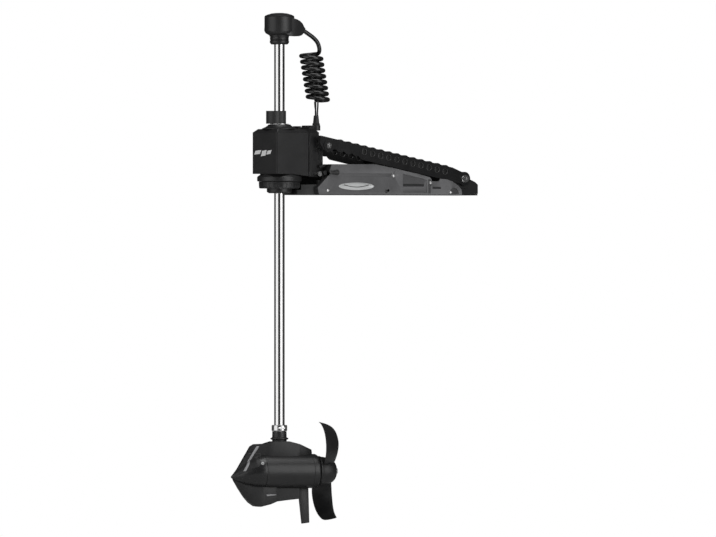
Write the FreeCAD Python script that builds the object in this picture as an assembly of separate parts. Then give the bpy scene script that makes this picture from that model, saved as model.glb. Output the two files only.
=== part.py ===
"""A bow-mount trolling motor on a folding deck mount, in millimetres, +Z up.

Every shape is drawn with x measured aft from the steering axis and z up from the deck.
What steers is drawn pointing straight ahead and is turned by STEER_REST when it is saved.
Everything is then moved so that the origin is the centre of the deck bolt pattern.
"""
import FreeCAD, Part
import math
import os

from FreeCAD import Vector

# --- driving dimensions -----------------------------------------------------------------
DECK_X = 380.0            # the deck bolt pattern's centre, aft of the steering axis
STEER_REST = -22.0        # the shaft's turn from straight ahead in the stored pose, degrees
RUN = 0.05                # radial clearance of a running fit
FIT = 0.05                # radial clearance of a seat within one body

SHAFT_R = 15.0
SHAFT_BORE_R = 13.0
SHAFT_BOTTOM_Z = -690.0
SHAFT_TOP_Z = 462.0

ARM_FRONT = (120.0, 141.0)    # x, z of the upper arms' pivot on the steering housing
ARM_REAR = (632.0, 47.6)      # x, z of the upper arms' pivot on the deck mount
LINK_FRONT = (105.0, 75.0)    # x, z of the lower links' front eye
LINK_REAR = (600.5, 40.0)     # x, z of the lower links' pivot on the deck mount
ARM_IN_Y = 62.0
ARM_OUT_Y = 72.0
ARM_TOP = 23.5                # the arm's edges, above and below the line of its pivots
ARM_BOTTOM = -16.3
ARM_WAIST = -6.0
ARM_HOLES = 11
ARM_HOLE_PITCH = 30.65
ARM_HOLE_FIRST = 138.2
ARM_HOLE_R = 7.8
ARM_HOLE_RISE = 7.5
ARM_POCKET = 4.2              # depth of a pocket, which leaves a thin web
LINK_IN_Y = 12.0
LINK_OUT_Y = 20.0
PIVOT_R = 8.0
REAR_PIN_R = 7.0
LINK_PIN_R = 5.0

CHANNEL_HALF = 57.0
CHANNEL_FLOOR = 5.0
CHANNEL_WALL_TOP = 36.0
CHANNEL_WALL_IN = 53.0
BOLT_SPACING_X = 320.0
BOLT_SPACING_Y = 80.0
BOLT_HOLE_R = 3.5
GLAND_Z = 20.0
GLAND_BORE_R = 5.0
COVER_IN_Y = 57.4
COVER_OUT_Y = 76.0
COVER_WALL = 3.0
COVER_TOP_Z = 88.0

LATCH_PIVOT = (130.0, 28.0)   # x, z of the latch's pin
LATCH_PIN_R = 4.0
LATCH_Y = (-52.5, -46.5)
LATCH_HOOK_R = (53.0, 60.0)
LATCH_KNOB = (115.5, 63.2)
LATCH_KNOB_R = 6.6

HOUSING_FRONT_X = -55.0
HOUSING_HALF = 56.0
HOUSING_REAR_HALF = 40.0
HOUSING_REAR_X = 128.0
HOUSING_TOP_Z = 178.0
HOUSING_WALL = 4.0
LID_TOP_Z = 188.0
DOME_TOP_Z = 201.0
SLEEVE_R = 20.0
SLEEVE_BORE_R = 17.0
COLLAR_BOTTOM_Z = 203.2
COLLAR_TOP_Z = 239.8
COLLAR_R = 19.0
COLLAR_SIDE_R = 24.0
COLLAR_SHIFT = 14.0           # how far out the collar's bulge is centred
COLLAR_BEARING = 162.0        # direction of the bulge, from straight aft

GEAR_MODULE = 2.0
GEAR_TEETH = 40
PINION_TEETH = 10
GEAR_BACKLASH = 0.5
GEAR_Z = (76.0, 88.0)
PINION_BEARING = 40.0         # direction of the pinion from the steering axis, degrees

MOTOR_Z = -787.0
MOTOR_R = 48.8
MOTOR_BORE_R = 43.5
MOTOR_FRONT_X = -50.0
MOTOR_BACK_X = 92.0
BELL_BACK_X = 111.0
AXLE_R = 5.0
PROP_R = 146.0
HUB_BACK_X = 166.0
PIN_X = 154.0                 # the drive pin across the axle

HEAD_R = 42.7
HEAD_RIM_Z = 508.5
CORD_R = 6.0
COIL_R = 34.4
COIL_TOP = (93.6, 408.0)      # x, z of the coil's axis at its ends, in the head's own plane
COIL_MIDDLE = (105.0, 338.0)
COIL_BOTTOM = (116.4, 268.0)
WIRE_R = 2.3
BOOT_XY = (118.0, -22.0)
BOOT_Z = (204.5, 227.0)

OUT = "parts"
os.makedirs(OUT, exist_ok=True)


# --- helpers ------------------------------------------------------------------------------
def box(x, y, z):
    """A block between the two values of each of x, y and z."""
    size = [abs(b - a) for a, b in (x, y, z)]
    return Part.makeBox(*size, Vector(min(x), min(y), min(z)))


def rod(r, start, end):
    """A round bar from start to end."""
    a, b = Vector(*start), Vector(*end)
    return Part.makeCylinder(r, (b - a).Length, a, b - a)


def pipe(outer, inner, start, end):
    """A round bar with a bore right through it."""
    return rod(outer, start, end).cut(rod(inner, start, end))


def polygon(points):
    return Part.makePolygon([*points, points[0]])


def side_plate(points, y):
    """An outline in x and z, extruded between two values of y."""
    face = Part.Face(polygon([Vector(px, y[0], pz) for px, pz in points]))
    return face.extrude(Vector(0, y[1] - y[0], 0))


def flat_plate(points, z):
    """An outline in x and y, extruded between two values of z."""
    face = Part.Face(polygon([Vector(px, py, z[0]) for px, py in points]))
    return face.extrude(Vector(0, 0, z[1] - z[0]))


def turned(points, centre=(0.0, 0.0), along_x=False):
    """A profile of (radius, height) pairs turned about the vertical through centre, or,
    with along_x, of (x, radius) pairs turned about the lower unit's own axis."""
    if along_x:
        outline = [Vector(px, 0, MOTOR_Z + r) for px, r in points]
        origin, axis = Vector(0, 0, MOTOR_Z), Vector(1, 0, 0)
    else:
        outline = [Vector(centre[0] + r, centre[1], h) for r, h in points]
        origin, axis = Vector(centre[0], centre[1], 0), Vector(0, 0, 1)
    return Part.Face(polygon(outline)).revolve(origin, axis, 360)


def joined(shapes):
    """One solid from touching shapes."""
    first, rest = shapes[0], shapes[1:]
    return first.fuse(rest).removeSplitter() if rest else first


def mirrored(shape):
    """The same shape on the other side of the centre plane."""
    return shape.mirror(Vector(0, 0, 0), Vector(0, 1, 0))


def both_sides(shape):
    return Part.makeCompound([shape, mirrored(shape)])


def along(start, end, r, h):
    """The (x, z) point at distance r from start towards end, and h above that line."""
    length = math.hypot(end[0] - start[0], end[1] - start[1])
    ux, uz = (end[0] - start[0]) / length, (end[1] - start[1]) / length
    return (start[0] + r * ux - h * uz, start[1] + r * uz + h * ux)


def bar_across(r, at, y):
    """A round bar along y, with its axis at at = (x, z)."""
    return rod(r, (at[0], y[0], at[1]), (at[0], y[1], at[1]))


def gear(teeth, pitch_r, z, bore_r):
    """A spur gear about the vertical, with straight-flanked teeth thinned for backlash."""
    tip, root = pitch_r + 0.8 * GEAR_MODULE, pitch_r - 1.1 * GEAR_MODULE
    half = (math.pi * GEAR_MODULE / 2 - GEAR_BACKLASH) / 2
    slope = math.tan(math.radians(20))
    corners = [
        (root, half + slope * (pitch_r - root)),
        (tip, half - slope * (tip - pitch_r)),
    ]
    outline = []
    for n in range(teeth):
        middle = 2 * math.pi * n / teeth
        for r, w in (*corners, *[(r, -w) for r, w in reversed(corners)]):
            angle = middle - w / r
            outline.append((r * math.cos(angle), r * math.sin(angle)))
    blank = flat_plate(outline, z)
    return blank.cut(rod(bore_r, (0, 0, z[0] - 1), (0, 0, z[1] + 1)))


def routed_tube(name, points, r):
    """A tube of radius r along straight runs joined by tangent arcs, as large as they fit."""
    points = [Vector(*p) for p in points]
    edges, here, radii = [], points[0], []
    for before, corner, after in zip(points, points[1:], points[2:]):
        u, w = (corner - before).normalize(), (after - corner).normalize()
        half_turn = u.getAngle(w) / 2
        set_back = 0.45 * min((corner - before).Length, (after - corner).Length)
        radii.append(set_back / math.tan(half_turn))
        start, end = corner - u * set_back, corner + w * set_back
        to_centre = (w - u).normalize()
        centre = corner + to_centre * math.hypot(set_back, radii[-1])
        middle = centre - to_centre * radii[-1]
        edges.append(Part.LineSegment(here, start).toShape())
        edges.append(Part.Arc(start, middle, end).toShape())
        here = end
    edges.append(Part.LineSegment(here, points[-1]).toShape())
    path = Part.Wire(edges)
    circle = Part.Circle(points[0], points[1] - points[0], r).toShape()
    tube = path.makePipeShell([Part.Wire(circle)], True, True)
    ratio = tube.Volume / (math.pi * r * r * path.Length)
    print(f"{name}: length {path.Length:.1f}, radii {[round(x, 1) for x in radii]}, {ratio:.3f}")
    return tube


def save(name, shape, steered=False):
    """Writes one node, in the part's own frame."""
    placed = shape.copy()
    if steered:
        placed.rotate(Vector(0, 0, 0), Vector(0, 0, 1), STEER_REST)
    placed.translate(Vector(-DECK_X, 0, 0))
    if not placed.isValid():
        print("not valid:", name)
    placed.exportStep(os.path.join(OUT, name + ".step"))


# --- deck mount ---------------------------------------------------------------------------
def deck_holes():
    """Drills for the four deck bolts."""
    return [
        rod(BOLT_HOLE_R, (DECK_X + dx, y, -1), (DECK_X + dx, y, CHANNEL_FLOOR + 1))
        for dx in (-BOLT_SPACING_X / 2, BOLT_SPACING_X / 2)
        for y in (-BOLT_SPACING_Y / 2, BOLT_SPACING_Y / 2)
    ]


def base_channel():
    """The deck channel, with the links' bracket and the latch's supports welded in."""
    floor = box((112, 692), (-CHANNEL_HALF, CHANNEL_HALF), (0, CHANNEL_FLOOR))
    wall = box((112, 560), (CHANNEL_WALL_IN, CHANNEL_HALF), (CHANNEL_FLOOR, CHANNEL_WALL_TOP))
    channel = joined([floor, wall, mirrored(wall), *link_bracket(), *latch_supports()])
    drills = [bar_across(LINK_PIN_R + FIT, LINK_REAR, (-31, 31)),
              bar_across(LATCH_PIN_R + FIT, LATCH_PIVOT, (-58, -40))]
    return channel.cut([*deck_holes(), *drills])


def front_cradle():
    """The nose of the deck mount, hollowed to take the steering turret."""
    outline = [(40, -30), (85, -57), (111.8, -57), (111.8, 57), (85, 57), (40, 30)]
    low = flat_plate(outline, (0, 15)).cut(rod(38, (0, 0, -1), (0, 0, 16)))
    high = flat_plate(outline, (15, 30)).cut(rod(61.5, (0, 0, 14), (0, 0, 31)))
    lug = box((96, 111.8), (46, 57), (30, 42))
    return joined([low, high, lug, mirrored(lug)])


COVER_OUTLINE = [
    (84, 1.5), (80, 21), (115.5, 51), (132, COVER_TOP_Z), (293, COVER_TOP_Z), (368, 76.5),
    (411, 68.2), (454, 61.4), (496, 51.8), (503, 47), (505, 40), (531, 40), (537, 47.5),
    (561, 46), (582, 40), (603, 28.5), (616, 17), (618, 1.5),
]


def inset(points, d):
    """A cover's outline moved in by d, by shrinking about its own sides."""
    face = Part.Face(polygon([Vector(px, 0, pz) for px, pz in points]))
    wire = face.makeOffset2D(-d, join=2)
    return wire.Faces[0] if wire.Faces else Part.Face(wire.Wires[0])


def side_cover():
    """The right-hand grey cover: a thin wall with a lip, mouldings and a grab recess."""
    body = side_plate(COVER_OUTLINE, (COVER_IN_Y, COVER_OUT_Y))
    hollow = inset(COVER_OUTLINE, COVER_WALL)
    hollow.translate(Vector(0, COVER_IN_Y - 1, 0))
    body = body.cut(hollow.extrude(Vector(0, COVER_OUT_Y - COVER_WALL - COVER_IN_Y + 1, 0)))
    face = COVER_OUT_Y
    groove = side_plate([(152, 62), (356, 62), (348, 53), (158, 53)], (face - 1.4, face + 1))
    recess = side_plate([(396, 61), (470, 48), (486, 44), (486, 8), (396, 8)],
                        (face - 1.2, face + 1))
    slot = box((398, 476), (face - 2.6, face + 1), (25, 32.5))
    rib = box((491, 500), (face - 1.6, face + 1), (5, 46))
    rear_slot = box((507, 538), (face - 2.4, face + 1), (18.5, 24.5))
    arch = bar_across(17, (588, 5), (face - 1.8, face + 1)).common(
        box((565, 606), (face - 2, face + 1), (4, 30)))
    hole = bar_across(4.2, (342, 13.5), (face - 5, face + 1))
    swing = box((470, 640), (COVER_IN_Y - 1, ARM_OUT_Y + 0.9), (30, 95))
    knob_room = bar_across(LATCH_KNOB_R + 3, LATCH_KNOB, (COVER_IN_Y - 1, face + 1))
    shaped = body.cut([groove, recess, slot, rib, rear_slot, arch, hole, swing, knob_room])
    return shaped.cut([bar_across(4.4, at, (face - 1.5, face + 1)) for at in COVER_SCREWS])


COVER_SCREWS = [(117, 13.0), (362, 55.0), (500.5, 35.5), (576, 8.5)]


def cover_screws():
    face = COVER_OUT_Y
    return [
        bar_across(4.0, at, (face - 1.45, face + 0.6)).cut(
            box((at[0] - 0.6, at[0] + 0.6), (face - 0.6, face + 1), (at[1] - 3, at[1] + 3)))
        for at in COVER_SCREWS
    ]


def rear_block():
    """The rear pivot block, with two ears for the arms' pins and a gap for the links."""
    outline = [(562, 5.1), (562, 30), (600, 44), (666, 45.6), (684, 38.5), (694, 31), (694, 5.1)]
    body = side_plate(outline, (-CHANNEL_HALF, CHANNEL_HALF))
    ear = joined([bar_across(18, ARM_REAR, (46, 60)),
                  box((614, 650), (46, 60), (20, ARM_REAR[1]))])
    block = joined([body, ear, mirrored(ear)])
    gap = box((555, 646), (-34, 34), (5, 80))
    inlet = rod(GLAND_BORE_R, (640, 0, GLAND_Z), (700, 0, GLAND_Z))
    return block.cut([gap, inlet, bar_across(REAR_PIN_R + FIT, ARM_REAR, (-61, 61))])


def link_bracket():
    """The foot and the two cheeks that carry the lower links' rear axle."""
    floor = box((584, 617), (-30, 30), (CHANNEL_FLOOR, 9))
    cheek = box((587, 614), (24, 30), (9, 52))
    return [floor, cheek, mirrored(cheek)]


def mount_pins():
    """The arms' headed rear pins, the links' rear axle and the latch's pin."""
    pin = bar_across(REAR_PIN_R, ARM_REAR, (44, 73.5))
    head = bar_across(9.5, ARM_REAR, (73.5, 78.5)).cut(bar_across(3.2, ARM_REAR, (75.5, 79)))
    arm_pin = joined([pin, head])
    link_axle = bar_across(LINK_PIN_R, LINK_REAR, (-30, 30))
    latch_pin = bar_across(LATCH_PIN_R, LATCH_PIVOT, (-CHANNEL_HALF, -42))
    return Part.makeCompound([arm_pin, mirrored(arm_pin), link_axle, latch_pin])


def power_gland():
    """The empty power cable inlet in the rear block's back wall."""
    body = rod(9.5, (694, 0, GLAND_Z), (704, 0, GLAND_Z))
    return body.cut(rod(GLAND_BORE_R, (690, 0, GLAND_Z), (705, 0, GLAND_Z)))


# --- latch --------------------------------------------------------------------------------
def latch_point(r, bearing):
    """The (x, z) point at radius r from the latch's pivot; 0 points forward, 90 up."""
    angle = math.radians(bearing)
    return (LATCH_PIVOT[0] - r * math.cos(angle), LATCH_PIVOT[1] + r * math.sin(angle))


def latch_lever():
    """The latch, released: a stem and a hook whose underside is concentric with its pin."""
    inner = [latch_point(LATCH_HOOK_R[0], a) for a in range(66, 117, 10)]
    outer = [latch_point(LATCH_HOOK_R[1], a) for a in range(116, 65, -10)]
    hook = side_plate([*inner, *outer], LATCH_Y)
    stem = side_plate([latch_point(9, 30), latch_point(54, 100), latch_point(54, 116),
                       latch_point(9, 180)], LATCH_Y)
    boss = bar_across(9, LATCH_PIVOT, LATCH_Y)
    lever = joined([hook, stem, boss])
    return lever.cut(bar_across(LATCH_PIN_R + RUN, LATCH_PIVOT, (LATCH_Y[0] - 1, LATCH_Y[1] + 1)))


def latch_supports():
    """The post inside the lever, and the tab and knob outside it."""
    post = side_plate([(121, CHANNEL_FLOOR), (139, CHANNEL_FLOOR), (137, 38), (123, 38)],
                      (LATCH_Y[1] + 0.4, -42))
    tab = box((112, 122), (-CHANNEL_HALF, -CHANNEL_WALL_IN), (CHANNEL_WALL_TOP - 8, 69))
    knob = bar_across(LATCH_KNOB_R, LATCH_KNOB, (-66, -CHANNEL_HALF))
    return [post, tab, knob]


# --- arms and links -----------------------------------------------------------------------
def arm_point(r, h):
    """The (x, z) point at distance r from the front pivot, and h above the arm's line."""
    return along(ARM_FRONT, ARM_REAR, r, h)


def upper_arm():
    """The left-hand upper arm: a deep bar with a row of pockets and a scalloped top edge."""
    length = math.hypot(ARM_REAR[0] - ARM_FRONT[0], ARM_REAR[1] - ARM_FRONT[1])
    outline = [arm_point(r, h) for r, h in (
        (-30, ARM_TOP), (470, ARM_TOP), (length - 12, 17), (length, -17),
        (length - 20, ARM_BOTTOM), (130, ARM_BOTTOM), (112, ARM_WAIST), (24, ARM_WAIST),
        (18, -14), (-14, -14), (-30, 2))]
    y = (ARM_IN_Y, ARM_OUT_Y)
    pieces = [side_plate(outline, y), bar_across(19, ARM_FRONT, y), bar_across(20, ARM_REAR, y)]
    centres = [arm_point(ARM_HOLE_FIRST + n * ARM_HOLE_PITCH, ARM_HOLE_RISE)
               for n in range(ARM_HOLES)]
    bumps = [bar_across(18.6, at, y) for at in centres]
    front_bumps = [bar_across(18.6, arm_point(r, ARM_HOLE_RISE), y)
                   for r in (46.2, 76.9, 107.5)]
    boss = bar_across(16.2, ARM_FRONT, (ARM_OUT_Y, ARM_OUT_Y + 3))
    body = joined([*pieces, *bumps, *front_bumps, boss])
    depths = [(y[0] - 1, y[0] + ARM_POCKET), (y[1] - ARM_POCKET, y[1] + 1)]
    holes = [bar_across(ARM_HOLE_R, at, depth) for at in centres for depth in depths]
    rims = [bar_across(ARM_HOLE_R + 2.2, at, (y[1] - 1.2, y[1] + 1)) for at in centres]
    bores = [bar_across(PIVOT_R + FIT, ARM_FRONT, (y[0] - 1, y[1] + 4)),
             bar_across(11 + FIT, ARM_REAR, (y[0] - 1, y[1] + 1))]
    return body.cut([*holes, *rims, *bores])


def arm_bushes():
    bush = bar_across(11, ARM_REAR, (ARM_IN_Y - 0.8, ARM_OUT_Y + 0.8))
    return both_sides(bush.cut(bar_across(REAR_PIN_R + RUN, ARM_REAR, (60, 74))))


def cross_tubes():
    """Two tubes that tie the arms together."""
    tubes = []
    for r in (70.0, 255.0):
        at = arm_point(r, 4)
        tube = bar_across(7, at, (-ARM_IN_Y + 0.1, ARM_IN_Y - 0.1))
        tubes.append(tube.cut(bar_across(4.5, at, (-ARM_IN_Y, ARM_IN_Y))))
    return Part.makeCompound(tubes)


def front_axle():
    """The axle through both arms and the housing, with a driven socket in each end."""
    end_y = ARM_OUT_Y + 6
    sockets = [bar_across(3.6, ARM_FRONT, (end_y - 3, end_y + 1)),
               bar_across(3.6, ARM_FRONT, (-end_y - 1, -end_y + 3))]
    return bar_across(PIVOT_R, ARM_FRONT, (-end_y, end_y)).cut(sockets)


def lower_links():
    """The two lower links, welded to a spacer tube and to the pin of their front eyes."""
    y = (LINK_IN_Y, LINK_OUT_Y)
    length = math.hypot(LINK_REAR[0] - LINK_FRONT[0], LINK_REAR[1] - LINK_FRONT[1])
    bar = side_plate([along(LINK_FRONT, LINK_REAR, r, h) for r, h in (
        (0, -8), (length, -8), (length, 8), (0, 8))], y)
    body = joined([bar, bar_across(10.5, LINK_FRONT, y), bar_across(11.5, LINK_REAR, y)])
    spacer = bar_across(6, along(LINK_FRONT, LINK_REAR, 300, 0), (-LINK_IN_Y, LINK_IN_Y))
    pin = bar_across(LINK_PIN_R, LINK_FRONT, (-LINK_OUT_Y - 1, LINK_OUT_Y + 1))
    frame = joined([body, mirrored(body), spacer, pin])
    return frame.cut(bar_across(LINK_PIN_R + RUN, LINK_REAR, (-LINK_OUT_Y - 1, LINK_OUT_Y + 1)))


# --- steering housing ---------------------------------------------------------------------
def housing_outline(d=0.0):
    """The housing seen from above, drawn in by d."""
    front, half, rear = HOUSING_FRONT_X + d, HOUSING_HALF - d, HOUSING_REAR_HALF - d
    back = HOUSING_REAR_X - d
    return [(front, -half + 3), (front + 3, -half), (60, -half), (78, -rear), (back, -rear),
            (back, rear), (78, rear), (60, half), (front + 3, half), (front, half - 3)]


def housing_body():
    """The outer form of the housing's main casting, with its sloping underside."""
    body = flat_plate(housing_outline(), (51, HOUSING_TOP_Z))
    under = side_plate([(-60, 40), (130, 40), (130, 51), (74, 52.5), (0, 60), (-60, 60)],
                       (-60, 60))
    return body.cut(under)


def housing_shell():
    """The main casting: a hollow box in front, and a forked pivot carrier behind."""
    w = HOUSING_WALL
    room = [(HOUSING_FRONT_X + w, -52), (56, -52), (56, 52), (HOUSING_FRONT_X + w, 52)]
    hollow = flat_plate(room, (69, HOUSING_TOP_Z + 1))
    fork = box((78, 130), (-24, 24), (40, 118))
    bore = rod(24 + FIT, (0, 0, 40), (0, 0, 80))
    side = (HOUSING_REAR_HALF - 17, HOUSING_REAR_HALF + 1)
    seats = [bar_across(12 + FIT, ARM_FRONT, side),
             mirrored(bar_across(12 + FIT, ARM_FRONT, side)),
             bar_across(9, ARM_FRONT, (-30, 30))]
    recess = box((92, 114), (HOUSING_REAR_HALF - 2, HOUSING_REAR_HALF + 1), (100, 127))
    recesses = [recess, mirrored(recess)]
    catch = bar_across(4 + FIT, (98, 60), (-41, -24))
    chase = box((50, 100), (-30, -14), (150, 172))
    shaped = housing_body().cut([hollow, fork, bore, *seats, catch, chase])
    relief = [r.cut(bar_across(15, ARM_FRONT, (-50, 50))) for r in recesses]
    slope = side_plate([(114, 180), (114, 168), (130, 155), (130, 180)], (-60, 60))
    return shaped.cut([*relief, slope])


def housing_lid():
    """The bevelled lid over the housing, with its dome, cable tower and clip."""
    low = polygon([Vector(min(x, 114), y, HOUSING_TOP_Z + 0.05) for x, y in housing_outline()])
    high = polygon([Vector(min(x, 108), y, LID_TOP_Z) for x, y in housing_outline(11.0)])
    lid = Part.makeLoft([low, high], True, True)
    tower = side_plate([(88, 180), (113, 180), (130, 188), (130, 196), (128, 198.5),
                        (94, 198.5), (88, 190)], (-26, 12))
    pad = rod(12.0, (*BOOT_XY, 184), (*BOOT_XY, 198.5))
    clip = side_plate([(57, 186), (70, 186), (70, 196.5), (60, 196.5)], (-12, 12))
    hollow = flat_plate([(-44, -44), (50, -44), (50, 44), (-44, 44)], (170, 184))
    whole = joined([lid, tower, pad, clip]).cut(hollow)
    port = rod(7, (BOOT_XY[0], BOOT_XY[1], 170), (BOOT_XY[0], BOOT_XY[1], 200))
    bored = whole.cut([rod(24 + FIT, (0, 0, 170), (0, 0, 200)), port])
    return joined([bored, top_dome(), cord_fitting()]).cut(
        rod(6.9, (*BOOT_XY, LID_TOP_Z), (*BOOT_XY, 210)))


def top_dome():
    """The round dome on the lid, with one step below its flat top."""
    z = LID_TOP_Z
    profile = [(24 + FIT, z - 1), (44, z - 1), (50, z), (50, z + 1.5), (38, z + 6.5),
               (36.5, z + 8.5), (34.5, z + 9), (31, DOME_TOP_Z), (SLEEVE_R + 0.6, DOME_TOP_Z),
               (SLEEVE_R + 0.6, z + 8), (24 + FIT, z + 8)]
    return turned(profile)


def housing_bushes():
    """The sleeve's two bearings and the two bushes of the front axle."""
    lower = pipe(24, SLEEVE_R + RUN, (0, 0, 61), (0, 0, 74))
    upper = pipe(24, SLEEVE_R + RUN, (0, 0, 180), (0, 0, 195.9))
    bush = bar_across(12, ARM_FRONT, (HOUSING_REAR_HALF - 16.9, HOUSING_REAR_HALF + 0.5))
    bush = bush.cut(bar_across(PIVOT_R + RUN, ARM_FRONT, (0, 60)))
    return Part.makeCompound([lower, upper, bush, mirrored(bush)])


def turret_neck():
    """The plain ring below the housing."""
    ring = turned([(25, 44), (25, 64), (52, 64), (56, 57), (62, 53), (63.6, 51), (63.6, 40.5),
                   (61.5, 38.5), (40, 38.5), (40, 44)])
    return ring.cut(housing_body())


def turret_ring():
    """The ribbed ring that turns with the shaft, and the smaller one below it."""
    ring = turned([(SLEEVE_R + FIT, 43.2), (38, 43.2), (38, 38.2), (58, 38.2), (59, 36), (58, 20), (54, 18.5), (36, 18.5),
                   (36, 9), (30, 5), (SLEEVE_R + FIT, 5)])
    cuts = []
    for n in range(24):
        slot = box((56.4, 61), (-4.2, 4.2), (21.5, 34))
        slot.rotate(Vector(0, 0, 0), Vector(0, 0, 1), 15.0 * n)
        cuts.append(slot)
    return ring.cut(cuts)


def sleeve():
    """The steering sleeve: a long tube with a flange on its top end."""
    tube = rod(SLEEVE_R, (0, 0, 5), (0, 0, 202.9))
    flange = rod(27, (0, 0, DOME_TOP_Z + 0.5), (0, 0, 202.9))
    return joined([tube, flange]).cut(rod(SLEEVE_BORE_R + FIT, (0, 0, 0), (0, 0, 210)))


def sleeve_bushes():
    low = pipe(SLEEVE_BORE_R, SHAFT_R + RUN, (0, 0, 5), (0, 0, 45))
    high = pipe(SLEEVE_BORE_R, SHAFT_R + RUN, (0, 0, 163), (0, 0, 202.9))
    return Part.makeCompound([low, high])


def pinion_place():
    reach = GEAR_MODULE * (GEAR_TEETH + PINION_TEETH) / 2 + 0.3
    angle = math.radians(PINION_BEARING)
    return reach * math.cos(angle), reach * math.sin(angle)


def steering_gear():
    """The large gear, turned so that a tooth space faces the pinion."""
    wheel = gear(GEAR_TEETH, GEAR_MODULE * GEAR_TEETH / 2, GEAR_Z, SLEEVE_R + FIT)
    wheel.rotate(Vector(0, 0, 0), Vector(0, 0, 1), PINION_BEARING + 180.0 / GEAR_TEETH)
    return wheel


def steering_pinion():
    """The pinion on the steering motor's spindle and armature, a tooth facing the gear."""
    x, y = pinion_place()
    low, high = GEAR_Z[0] - 1, GEAR_Z[1] + 1
    wheel = gear(PINION_TEETH, GEAR_MODULE * PINION_TEETH / 2, (low, high), 2.6)
    wheel.rotate(Vector(0, 0, 0), Vector(0, 0, 1), PINION_BEARING + 180)
    wheel.translate(Vector(x, y, 0))
    spindle = rod(2.7, (x, y, 70.5), (x, y, 148))
    return joined([wheel, spindle, rod(10, (x, y, 104), (x, y, 140))])


def steering_motor_can():
    """The steering motor's can on its bracket, with the spindle's seats in its ends."""
    x, y = pinion_place()
    plate = box((8, 56), (24, 52), (91, 95)).cut(rod(SLEEVE_R + 3, (0, 0, 90), (0, 0, 96)))
    can = joined([rod(16, (x, y, 95), (x, y, 152)), plate])
    room = rod(13.5, (x, y, 98), (x, y, 149))
    return can.cut([room, rod(2.7 + RUN, (x, y, 90), (x, y, 148.5))])


def steering_board():
    board = box((-42, 44), (-47.6, -46), (84, 160))
    chips = [box((x, x + 16), (-46, -42.5), (z, z + 12))
             for x, z in ((-34, 96), (-8, 96), (20, 104), (-30, 128), (4, 132))]
    posts = [rod(2.5, (x, -52, z), (x, -47.6, z)) for x in (-36, 38) for z in (90, 154)]
    return joined([board, *chips, *posts])


def catch_bolt():
    """The bright bolt on the housing that the latch holds down."""
    at = (98.0, 60.0)
    shank = bar_across(4, at, (-58, -25))
    head = rod(7.2, (at[0], -64, at[1]), (at[0], -58, at[1]))
    return joined([shank, head])


# --- cord ---------------------------------------------------------------------------------
def cord_boot():
    """The rubber boot over the cord's lower end."""
    x, y = BOOT_XY
    return turned([(0, BOOT_Z[0]), (9.0, BOOT_Z[0]), (8.6, 209), (6.8, BOOT_Z[1]), (0, BOOT_Z[1])],
                  centre=(x, y))


def cord_fitting():
    """The six-sided seat of the boot, moulded on the lid's tower."""
    x, y = BOOT_XY
    corners = [math.radians(60 * n) for n in range(6)]
    outline = [(x + 11.5 * math.cos(a), y + 11.5 * math.sin(a)) for a in corners]
    return flat_plate(outline, (198.4, BOOT_Z[0]))


def coil_half(top, bottom):
    """One closed solid of the coil's outer form, between two points of its leaning axis."""
    return rod(COIL_R, (top[0], 0, top[1]), (bottom[0], 0, bottom[1]))


UPPER_LEAD = [(72.5, 0, 468.5), (86.5, 0, 459.5), (101, 0, 449.5), (113, 0, 437.5),
              (118.4, 0, 425), (120.5, 0, 412.45)]
WIRE_STARTS = [(-4.5, -3.0), (0.0, 4.0), (4.5, -3.0)]


def split_wires():
    """The three leads between the coil's lower end and the boot."""
    angle = math.radians(STEER_REST)
    wires = []
    for dx, dy in WIRE_STARTS:
        own_x, own_y = 109.5 + dx, dy
        z = COIL_BOTTOM[1] + (own_x - COIL_BOTTOM[0]) * 0.163
        x = own_x * math.cos(angle) - own_y * math.sin(angle)
        y = own_x * math.sin(angle) + own_y * math.cos(angle)
        bx, by = BOOT_XY[0] + 0.7 * dx, BOOT_XY[1] + 0.7 * dy
        route = [(x, y, z), (x + 1.5, y + 1.2, z - 12), (bx - 2.5, by - 3.0, BOOT_Z[1] + 13),
                 (bx, by, BOOT_Z[1] + 0.05)]
        wires.append(routed_tube("wire", route, WIRE_R))
    return Part.makeCompound(wires)


# --- shaft and head -----------------------------------------------------------------------
def collar():
    """The split depth collar, bulged to one side and ribbed on the other."""
    z = (COLLAR_BOTTOM_Z, COLLAR_TOP_Z)
    swell = flat_plate([(0, -COLLAR_R), (COLLAR_SHIFT, -COLLAR_SIDE_R),
                        (COLLAR_SHIFT, COLLAR_SIDE_R), (0, COLLAR_R)], z)
    lobe = rod(COLLAR_SIDE_R, (COLLAR_SHIFT, 0, z[0]), (COLLAR_SHIFT, 0, z[1]))
    body = joined([swell, lobe, rod(COLLAR_R, (0, 0, z[0]), (0, 0, z[1]))])
    body.rotate(Vector(0, 0, 0), Vector(0, 0, 1), COLLAR_BEARING)
    ribs = []
    for n in range(4):
        rib = box((COLLAR_R - 1, COLLAR_R + 1), (-1.5, 1.5), (z[0] + 3, z[1] - 2))
        rib.rotate(Vector(0, 0, 0), Vector(0, 0, 1), 246 + 17.0 * n)
        ribs.append(rib)
    slit = box((10, 32), (-0.8, 0.8), (z[0] - 1, z[1] + 1))
    slit.rotate(Vector(0, 0, 0), Vector(0, 0, 1), COLLAR_BEARING + 180)
    bore = rod(SHAFT_R + RUN, (0, 0, z[0] - 1), (0, 0, z[1] + 1))
    return joined([body, *ribs]).cut([bore, slit])


def shaft_tube():
    return pipe(SHAFT_R, SHAFT_BORE_R, (0, 0, SHAFT_BOTTOM_Z), (0, 0, SHAFT_TOP_Z))


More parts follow.
